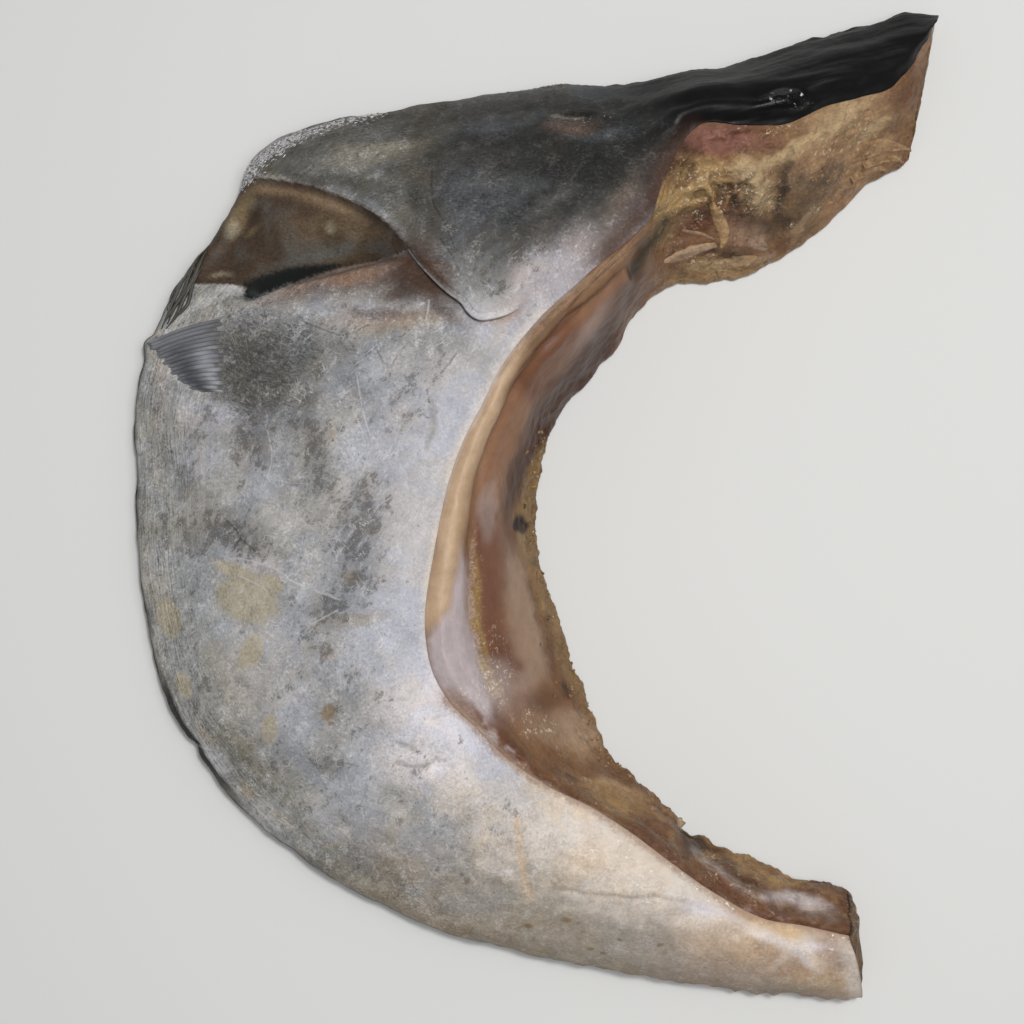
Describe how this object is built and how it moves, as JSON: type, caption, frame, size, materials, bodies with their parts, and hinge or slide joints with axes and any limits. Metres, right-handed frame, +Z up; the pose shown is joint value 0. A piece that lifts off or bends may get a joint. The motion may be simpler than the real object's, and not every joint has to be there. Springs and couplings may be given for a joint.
{
  "type": "tuna collar",
  "caption": "Raw tuna collar, a C-shaped piece of fish with silver-grey skin, a bony rim and bare flesh and membrane on its inner side.",
  "frame": {"origin": "middle of the piece's box, at the height of the surface it lies on", "axes": "+Z up, out of the skin side; +Y towards the back end of the C; the C opens towards +X"},
  "size_m": [0.2691, 0.3253, 0.0513],
  "materials": {
    "silver_skin": "moist silver-grey fish skin, with cream and brown membrane and flesh on the inner side"
  },
  "bodies": {
    "root": {"collar": "silver_skin"}
  },
  "joints": []
}
